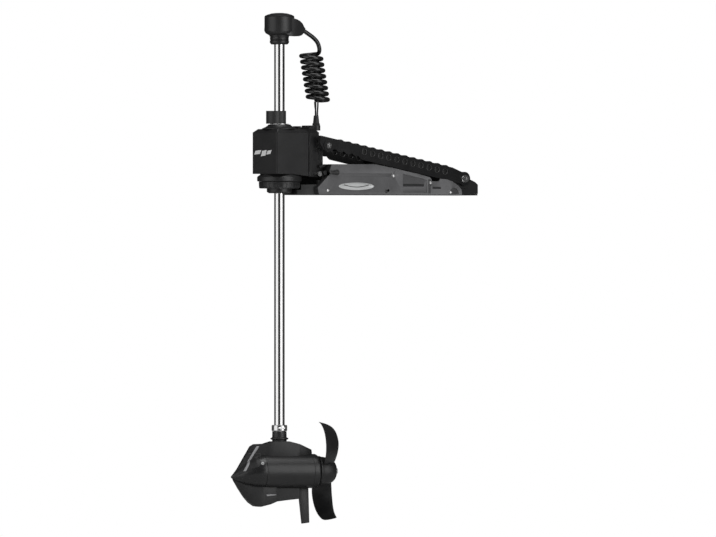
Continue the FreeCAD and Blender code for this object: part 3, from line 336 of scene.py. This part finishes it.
# --- mesh helpers --------------------------------------------------------------------------------
def piece_from(name, shape, body, finish, soft=0.0):
    """A mesh piece that rides on a body, with its edges rounded by soft metres."""
    points, faces = shape
    mesh = bpy.data.meshes.new(name)
    mesh.from_pydata([tuple(p) for p in points], [], faces)
    mesh.update()
    build = bmesh.new()
    build.from_mesh(mesh)
    bmesh.ops.recalc_face_normals(build, faces=build.faces)
    build.to_mesh(mesh)
    for face in mesh.polygons:
        face.use_smooth = True
    mesh.materials.append(MATERIALS[finish])
    piece = bpy.data.objects.new(name, mesh)
    bpy.context.scene.collection.objects.link(piece)
    if soft:
        bevel = piece.modifiers.new("edges", "BEVEL")
        bevel.width = soft
        bevel.segments = 3
        bevel.limit_method = "ANGLE"
        piece.modifiers.new("shading", "WEIGHTED_NORMAL")
    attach(piece, body)
    return piece


def thicken(piece, thickness):
    """Gives an open sheet a thickness in millimetres, half to each side."""
    thick = piece.modifiers.new("thickness", "SOLIDIFY")
    thick.thickness = thickness * MM
    thick.offset = 0


def add_to(shape, more):
    """Adds another shape's points and faces to a shape."""
    points, faces = shape
    faces += [tuple(i + len(points) for i in face) for face in more[1]]
    points += more[0]


def skin(rings, closed_ends=True):
    """Points and faces of a tube through rings that all have as many points."""
    count = len(rings[0])
    points = [p for ring in rings for p in ring]
    faces = []
    for row in range(len(rings) - 1):
        for n in range(count):
            m = (n + 1) % count
            a, b = row * count, (row + 1) * count
            faces.append((a + n, a + m, b + m, b + n))
    if closed_ends:
        faces.append(tuple(reversed(range(count))))
        faces.append(tuple(range(len(points) - count, len(points))))
    return points, faces


def sheet(rows):
    """Points and faces of an open sheet through rows that all have as many points."""
    count = len(rows[0])
    points = [p for row in rows for p in row]
    faces = [(a, a + 1, a + count + 1, a + count) for a in range(len(points) - count)
             if (a + 1) % count]
    return points, faces


def slab(low, thickness, out):
    """A flat plate from its outline on one side, grown along out."""
    high = [p + out * thickness for p in low]
    return skin([low, high])


def ring_rows(centre, out, across, steps, count=28):
    """Rings about an axis through centre, from (radius, lift) pairs in metres."""
    third = out.cross(across)
    turns = [2 * math.pi * n / count for n in range(count)]
    return [[centre + out * lift + r * (across * math.cos(a) + third * math.sin(a))
             for a in turns] for r, lift in steps]


# --- cords ---------------------------------------------------------------------------------------
CORD_R = 6.0 * MM
COIL_LINE_R = 29.0 * MM       # radius of the curly cord's centreline
COIL_PITCH = 16.6 * MM
UPPER_TURNS = 7.0
LOWER_TURNS = 1.0
POINTS_PER_TURN = 16
COIL_TOP = (93.6, 404.0)      # x, z of the curly cord's axis at its ends, in millimetres
COIL_BOTTOM = (116.4, 268.0)
UPPER_LEAD = [(72.5, 0, 468.5), (86.5, 0, 459.5), (101, 0, 449.5), (113, 0, 437.5),
              (118.4, 0, 425), (120.5, 0, 412.45)]
TAIL_X = 109.5                # where the cord ends and the wires start
TAIL_TURNS = ((0.06, 0.8), (0.1, 0.5))    # turns past the coil, and share of its radius
TAIL_HEIGHTS = (270.5, 267.4)
WIRE_R = 2.3 * MM
WIRE_STARTS = [(-4.5, -3.0), (0.0, 4.0), (4.5, -3.0)]
WIRE_TILT = 0.163             # rise of the cord's end for each millimetre aft
WIRE_GATHER = 0.7             # share of their spread that the wires keep at the boot
BOOT_XY = (118.0, -22.0)
BOOT_TOP_Z = 227.0


def nurbs(name, points, bevel=0.0):
    """A NURBS curve with these control points: a coil's many points need few steps between."""
    data = bpy.data.curves.new(name, "CURVE")
    data.dimensions = "3D"
    data.resolution_u = 3 if len(points) > 20 else 12
    spline = data.splines.new("NURBS")
    spline.points.add(len(points) - 1)
    for control, place in zip(spline.points, points):
        control.co = (*place, 1)
    spline.order_u = 3
    spline.use_endpoint_u = True
    data.bevel_depth = bevel
    data.bevel_resolution = 5
    data.use_fill_caps = bevel > 0
    data.materials.append(MATERIALS["cord_rubber"])
    curve = bpy.data.objects.new(name, data)
    bpy.context.scene.collection.objects.link(curve)
    return curve


def solid_of(curve):
    """A mesh made from a curve as it is drawn."""
    depsgraph = bpy.context.evaluated_depsgraph_get()
    return bpy.data.meshes.new_from_object(curve.evaluated_get(depsgraph))


def tube_piece(name, points):
    """A mesh tube along a NURBS spline, and the points that it follows."""
    line = nurbs(name + "_line", points)
    path = [v.co.copy() for v in solid_of(line).vertices]
    line.data.bevel_depth = CORD_R
    line.data.use_fill_caps = True
    mesh = solid_of(line)
    bpy.data.objects.remove(line)
    for face in mesh.polygons:
        face.use_smooth = True
    tube = bpy.data.objects.new(name, mesh)
    bpy.context.scene.collection.objects.link(tube)
    return tube, path


def coil_point(turn, radius=COIL_LINE_R):
    """A point of the curly cord, this many turns below its top."""
    drop = turn * COIL_PITCH / MM
    share = drop / (COIL_TOP[1] - COIL_BOTTOM[1])
    x = COIL_TOP[0] + share * (COIL_BOTTOM[0] - COIL_TOP[0])
    angle = 2 * math.pi * turn
    r = radius / MM
    return steered(x + r * math.cos(angle), r * math.sin(angle), COIL_TOP[1] - drop)


def coil_points(first, turns):
    """The curly cord's points from a turn on, for this many turns."""
    steps = range(int(turns * POINTS_PER_TURN) + 1)
    return [coil_point(first + n / POINTS_PER_TURN) for n in steps]


def make_curly_cord():
    """The curly cord: seven turns in its upper piece, and one turn and its tail in the lower
    piece.
    """
    lead = [steered(*p) for p in UPPER_LEAD]
    upper, upper_path = tube_piece("curly_cord_top", lead + coil_points(0, UPPER_TURNS)[1:])
    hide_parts("curly_cord_upper", "cord_upper_lead")
    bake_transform(upper)
    last = UPPER_TURNS + LOWER_TURNS
    tail = [coil_point(last + turn, COIL_LINE_R * share) for turn, share in TAIL_TURNS]
    tail += [steered(TAIL_X, 0, z) for z in TAIL_HEIGHTS]
    lower_points = coil_points(UPPER_TURNS, LOWER_TURNS) + tail
    lower, lower_path = tube_piece("curly_cord_bottom", lower_points)
    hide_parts("curly_cord_lower")
    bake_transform(lower)


def make_wires():
    """The three leads from the curly cord's end into the boot."""
    for n, (dx, dy) in enumerate(WIRE_STARTS):
        x = TAIL_X + dx
        start = steered(x, dy, COIL_BOTTOM[1] + (x - COIL_BOTTOM[0]) * WIRE_TILT)
        bx, by = BOOT_XY[0] + WIRE_GATHER * dx, BOOT_XY[1] + WIRE_GATHER * dy
        route = [start, start + Vector((1.5, 1.2, -12)) * MM,
                 fixed(bx - 2.5, by - 3.0, BOOT_TOP_Z + 13), fixed(bx, by, BOOT_TOP_Z + 0.05)]
        wire = nurbs("cord_wire_" + "abc"[n], route, WIRE_R)
        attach(wire, "housing")
        if n == 0:
            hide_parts("cord_wires")


# --- propeller -----------------------------------------------------------------------------------
BLADE_STATIONS = [
    # radius, middle x, lean (degrees), chord, pitch (degrees), thickness
    (34, 141, 48, 46, 60, 9.0), (60, 142, 44, 60, 52, 7.0), (85, 143, 34, 68, 47, 6.0),
    (110, 143, 16, 64, 45, 5.0), (130, 142, -4, 52, 46, 4.4),
    (141, 140.5, -15, 38, 50, 3.6), (145.6, 139, -20, 13, 52, 1.8),
]
BLADE_RINGS = 36
RING_POINTS = 28
BLADE_FULLNESS = 0.25         # how much fuller a section is towards its rear edge
BLADE_CAMBER = 0.025          # how far its middle line bows aft, as a share of its chord
HUB_PROFILE = [(113, 5.2), (113, 41), (114, 42.6), (119, 43), (122, 41.4), (132, 40),
               (142, 38), (151, 34.8), (158, 31), (163, 25.8), (165.6, 21.4), (166, 20),
               (166, 5.2)]    # x, radius
HUB_SEGMENTS = 72


def smooth_station(t):
    """The blade's section at t stations from the root, on a smooth curve through them."""
    last = len(BLADE_STATIONS) - 1
    i = min(int(t), last - 1)
    u = t - i
    p0, p1, p2, p3 = (BLADE_STATIONS[max(0, min(last, i + k))] for k in (-1, 0, 1, 2))
    return [0.5 * (2 * b + (c - a) * u + (2 * a - 5 * b + 4 * c - d) * u * u
                   + (3 * b - a - 3 * c + d) * u ** 3) for a, b, c, d in zip(p0, p1, p2, p3)]


def blade_ring(t, half_turn):
    """One streamlined section of a blade."""
    r, x, lean, chord, pitch, thick = smooth_station(t)
    p = math.radians(pitch)
    spin = Matrix.Rotation(math.radians(lean + half_turn), 3, "X")
    ring = []
    for n in range(RING_POINTS):
        a = 2 * math.pi * n / RING_POINTS
        c = chord / 2 * math.cos(a)
        h = thick / 2 * math.sin(a) * (1 + BLADE_FULLNESS * math.cos(a))
        h -= BLADE_CAMBER * chord * math.sin(a) ** 2
        local = Vector((x + c * math.sin(p) - h * math.cos(p),
                        c * math.cos(p) + h * math.sin(p), r))
        turned = spin @ local
        ring.append(steered(turned.x, turned.y, turned.z + MOTOR_Z))
    return ring


def make_hub():
    """The propeller's hub, turned about the motor's axle."""
    rings = []
    for x, r in HUB_PROFILE:
        turns = [2 * math.pi * n / HUB_SEGMENTS for n in range(HUB_SEGMENTS)]
        rings.append([steered(x, r * math.cos(a), MOTOR_Z + r * math.sin(a)) for a in turns])
    return skin(rings, closed_ends=False)


def make_propeller():
    """The hub and its two swept blades, as one moulding."""
    last = len(BLADE_STATIONS) - 1
    shape = make_hub()
    for half_turn in (0, 180):
        rings = [blade_ring(last * n / BLADE_RINGS, half_turn) for n in range(BLADE_RINGS + 1)]
        add_to(shape, skin(rings))
    prop = piece_from("propeller_moulding", shape, "prop", "propeller_plastic",
                      soft=0.5 * MM)
    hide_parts("propeller")


# --- trim ----------------------------------------------------------------------------------------
BADGE_AT = (222.5, 74.9, 25)  # middle of the badge's foot, on the left-hand side
BADGE_HALF = (65.7, 10.6)
BADGE_STEPS = [(1.0, 0.0), (1.0, 1.7), (0.985, 2.1), (0.93, 2.1), (0.91, 1.5),
               (0.5, 1.7)]    # share of the outline, height
BADGE_LINE_HALF, BADGE_LINE_WIDTH = 46, 1.7
FRONT_FACE_X = -54.8
FRONT_BARS = ((46, 26, 0), (16, 20, 5), (-8, 18, 0))    # start, length, drop
FRONT_BAR_LEAN = 6


def oval(half_x, half_z, count=56):
    """The outline of an oval."""
    turns = [2 * math.pi * n / count for n in range(count)]
    return [(half_x * math.cos(a), half_z * math.sin(a)) for a in turns]


def on_badge(side, u, v, proud):
    """A point of a badge, this far along, up and out from the middle of its foot."""
    x, y, z = BADGE_AT
    return fixed(x + u, side * (y + proud), z + v)


def make_badges():
    """A plain oval plate on each grey cover, with a raised rim and one curved dark line."""
    arc = []
    for n in range(25):
        u = BADGE_LINE_HALF * (n / 12 - 1)
        arc.append((u, 3.2 - 6.0 * math.cos(u / BADGE_LINE_HALF * math.pi / 2)))
    band = arc + [(u, v + BADGE_LINE_WIDTH) for u, v in reversed(arc)]
    for name, side in SIDES:
        rings = [[on_badge(side, u * share, v * share, proud) for u, v in oval(*BADGE_HALF)]
                 for share, proud in BADGE_STEPS]
        piece_from("badge_" + name, skin(rings), "base", "badge_silver")
        low = [on_badge(side, u, v, 1.6) for u, v in band]
        piece_from("badge_line_" + name, slab(low, 0.5 * MM, Vector((0, side, 0))), "base",
                   "badge_dark")


def make_front_mark():
    """Three slanted bars on the housing's front face."""
    for n, (start, length, drop) in enumerate(FRONT_BARS):
        outline = [(start, 115 - drop), (start - length, 117 - drop),
                   (start - length - FRONT_BAR_LEAN, 128), (start - FRONT_BAR_LEAN, 126)]
        low = [fixed(FRONT_FACE_X, y, z) for y, z in outline]
        piece_from("front_bar_" + "abc"[n], slab(low, 0.6 * MM, Vector((-1, 0, 0))), "housing",
                   "mark_white", soft=0.15 * MM)


# --- trim on the lower unit's fairings, in millimetres of the shaft's own frame ------------------
PYLON_HALF = [(-141, 2.5), (-90, 10), (-34, 24)]    # x, half the width
KEEL_HALF = [(-52, 19), (-12, 15)]
NOSE_R = [(-144.5, 2.5), (-128, 16), (-104, 31.5), (-78, 43.5), (-50, 48.2)]    # x, radius
NOSE_Z = [(-144.5, -803.5), (-128, -800), (-104, -794.5), (-78, -789.5), (-50, -787)]
STEP_SOFTNESS = 3.0           # how gently the fairing's side runs into the nose
HOOD_EDGE = [(-139, -803.5), (-115, -790), (-92, -781), (-74, -773.5), (-66, -764), (-61, -748)]
HOOD_CREST = [(-139, -800), (-87, -716.5)]
HOOD_TOP = -736
HOOD_PROUD = 0.9
HOOD_COLUMNS, HOOD_ROWS = 40, 16
STRIPE_FOOT = (-112.5, -787)  # x, z
STRIPE_RUN = (43, 71)
STRIPE_WIDTH = 8.0
STRIPE_ROWS = 30


def level(line, x):
    """The height at x of a bent line, which stays level past its last point."""
    for (x0, z0), (x1, z1) in zip(line, line[1:]):
        if x <= x1:
            return z0 + (z1 - z0) * (x - x0) / (x1 - x0)
    return line[-1][1]


def nose_half(x, z):
    """How far the nose stands out sideways at x and z."""
    return math.sqrt(max(0.0, level(NOSE_R, x) ** 2 - (z - level(NOSE_Z, x)) ** 2))


def fairing_half(x, z):
    """Where the upper fairing or the nose, whichever is wider, ends sideways, in a soft step."""
    a, b = level(PYLON_HALF, x), nose_half(x, z)
    overlap = max(STEP_SOFTNESS - abs(a - b), 0.0) / STEP_SOFTNESS
    return max(a, b) + overlap * overlap * STEP_SOFTNESS / 4


def make_stripes():
    """The light stripe up each side of the lower unit's leading edge."""
    for name, side in SIDES:
        rows = []
        for row in range(STRIPE_ROWS + 1):
            u = row / STRIPE_ROWS
            x, z = STRIPE_FOOT[0] + u * STRIPE_RUN[0], STRIPE_FOOT[1] + u * STRIPE_RUN[1]
            edge = []
            for across in (-0.5, -0.25, 0.0, 0.25, 0.5):
                px = x + across * STRIPE_WIDTH
                proud = 2.0 if abs(across) < 0.5 else 1.0
                edge.append(steered(px, side * (fairing_half(px, z) + proud), z))
            rows.append(edge)
        stripe = piece_from("stripe_" + name, sheet(rows), "shaft", "stripe_grey")
        thicken(stripe, 0.8)


def make_hoods():
    """The moulded hood of the upper fairing, which laps over the top of the nose."""
    front, rear = HOOD_EDGE[0][0], HOOD_EDGE[-1][0]
    for name, side in SIDES:
        columns = []
        for column in range(HOOD_COLUMNS + 1):
            x = front + (rear - front) * column / HOOD_COLUMNS
            low = level(HOOD_EDGE, x)
            high = max(low + 1.5, min(level(HOOD_CREST, x) - 1.0, HOOD_TOP))
            heights = [low + (high - low) * row / HOOD_ROWS for row in range(HOOD_ROWS + 1)]
            columns.append([steered(x, side * (fairing_half(x, z) + HOOD_PROUD), z)
                            for z in heights])
        hood = piece_from("fairing_hood_" + name, sheet(columns), "shaft", "fairing_plastic")
        thicken(hood, 1.6)


# --- screws, plugs and bosses --------------------------------------------------------------------
COVER_SCREWS = ((117, 13.0), (362, 55.0), (500.5, 35.5), (576, 8.5))    # x, z
COVER_PLUG = (334, 11)
EYELET_AT = (-63, 38.5, -765)
WEAR_PLATE_X = (-44, -14)     # front and rear end
WEAR_PLATE_Z = -855.5
WEAR_PLATE_ROWS = 14


def dome(name, centre, out, radius, height, body, finish, socket=0.4):
    """A round head with a small socket in its crown."""
    profile = [(1.0, -0.4), (1.0, 0.35), (0.93, 0.62), (0.78, 0.84), (0.6, 0.96),
               (socket, 1.0), (socket * 0.9, 0.45), (0.05, 0.4)]    # share of radius, of height
    steps = [(share * radius, lift * height) for share, lift in profile]
    rings = ring_rows(centre, out, out.orthogonal().normalized(), steps)
    piece_from(name, skin(rings), body, finish)


def make_screw_heads():
    """The domed heads of the covers' screws, and the small dark plugs beside them."""
    for name, side in SIDES:
        out = Vector((0, side, 0))
        for n, (x, z) in enumerate(COVER_SCREWS):
            dome(f"cover_screw_{name}_{n + 1}", fixed(x, side * 75.6, z), out, 4.6 * MM,
                 2.4 * MM, "base", "screw_zinc")
        x, z = COVER_PLUG
        dome("cover_plug_" + name, fixed(x, side * 75.4, z), out, 5.2 * MM, 1.6 * MM,
             "base", "badge_dark", socket=0.55)


def make_eyelet(name, side):
    """The eyelet on one shoulder of the nose."""
    x, y, z = EYELET_AT
    at = steered(x, side * y, z)
    out = (steered(x, side * (y + 1), z) - at).normalized()
    dome("nose_eyelet_" + name, at, out, 4.4 * MM, 6.0 * MM, "shaft", "badge_silver")


def make_wear_plate(name, side):
    """The bright wear plate on one side of the keel, thinner towards its rear end."""
    front, rear = WEAR_PLATE_X
    rings = []
    for row in range(WEAR_PLATE_ROWS + 1):
        u = row / WEAR_PLATE_ROWS
        x = front + (rear - front) * u
        half = level(KEEL_HALF, x)
        z, tall = WEAR_PLATE_Z + 1.5 * u, 3.0 - 1.9 * u
        rings.append([steered(x, side * (half + d), z + h) for d, h in
                      ((-1, -tall), (1.4, -tall), (1.9, 0), (1.4, tall), (-1, tall))])
    piece_from("keel_wear_plate_" + name, skin(rings), "shaft", "stripe_grey")


# --- arms and release grip -----------------------------------------------------------------------
ARM_FRONT = Vector((120.0, 0, 141.0))
ARM_REAR = Vector((632.0, 0, 47.6))
ARM_FACES = ((72.0, 1), (62.0, -1))       # y of each face, and whether it looks out or in
POCKETS = 11
POCKET_FIRST, POCKET_PITCH, POCKET_RISE = 138.2, 30.65, 7.5
POCKET_DEPTH = 4.15
POCKET_R = 7.8
RIM_STEPS = [(-0.1, -0.8), (-0.1, 0.1), (0.5, 0.55), (1.2, 0.45),
             (1.6, -0.1)]     # past the pocket's radius, height
# profile of the near-black discs of painted shade in the arms' pockets
SHADE_DISC_STEPS = [(-0.15, -0.02), (-0.15, 1.0), (-0.9, 1.5), (-6.8, 1.5)]
GRIP_AT = (-79.5, 64.5)       # y, z
GRIP_PROFILE = ((120, 3.0), (124, 4.8), (133, 5.2), (144, 6.6), (151, 8.2), (154, 6.0))
GRIP_FLATNESS = 0.6


def pocket_rings(centre, out, steps):
    """Rings round a pocket's axis, from (millimetres past its radius, lift) pairs."""
    steps = [((POCKET_R + wide) * MM, lift * MM) for wide, lift in steps]
    return ring_rows(centre, out, Vector((1, 0, 0)), steps)


def make_arm_pockets():
    """Near-black discs of painted shade at the bottom of the arms' pockets, and the worn rims
    round them.
    """
    line = (ARM_REAR - ARM_FRONT).normalized()
    up = Vector((-line.z, 0, line.x))
    for name, side in SIDES:
        rims, plugs = ([], []), ([], [])
        for face_y, way in ARM_FACES:
            out = Vector((0, side * way, 0))
            rim_sink = 1.2 * MM if way > 0 else 0.1 * MM
            for n in range(POCKETS):
                at = ARM_FRONT + line * (POCKET_FIRST + n * POCKET_PITCH) + up * POCKET_RISE
                centre = fixed(at.x, side * face_y, at.z)
                rim = pocket_rings(centre - out * rim_sink, out, RIM_STEPS)
                add_to(rims, skin(rim, closed_ends=False))
                # plug and plugs hold the near-black discs of painted shade at the pockets' bottoms
                plug = pocket_rings(centre - out * POCKET_DEPTH * MM, out, SHADE_DISC_STEPS)
                add_to(plugs, skin(plug))
        piece_from("arm_pocket_rims_" + name, rims, "arms", "rim_metal")
        piece_from("arm_pocket_shade_discs_" + name, plugs, "arms", "pocket_shade_black")


def make_grip():
    """The dark grip of the latch's release, on the right-hand cover."""
    y, z = GRIP_AT
    rings = []
    for x, half in GRIP_PROFILE:
        rings.append([fixed(x, y + v, z + w) for v, w in oval(GRIP_FLATNESS * half, half, 20)])
    piece_from("release_grip", skin(rings), "base", "black_plastic",
               soft=0.5 * MM)


# --- the whole scene -----------------------------------------------------------------------------
def main():
    make_camera()
    make_materials()
    make_studio()
    make_floor()
    for finish, nodes in FINISH.items():
        for node in nodes:
            dress(node, finish)
    make_curly_cord()
    make_wires()
    make_propeller()
    make_badges()
    make_front_mark()
    make_arm_pockets()
    make_hoods()
    make_stripes()
    make_screw_heads()
    for name, side in SIDES:
        make_eyelet(name, side)
        make_wear_plate(name, side)
    make_grip()


main()
bpy.context.view_layer.update()
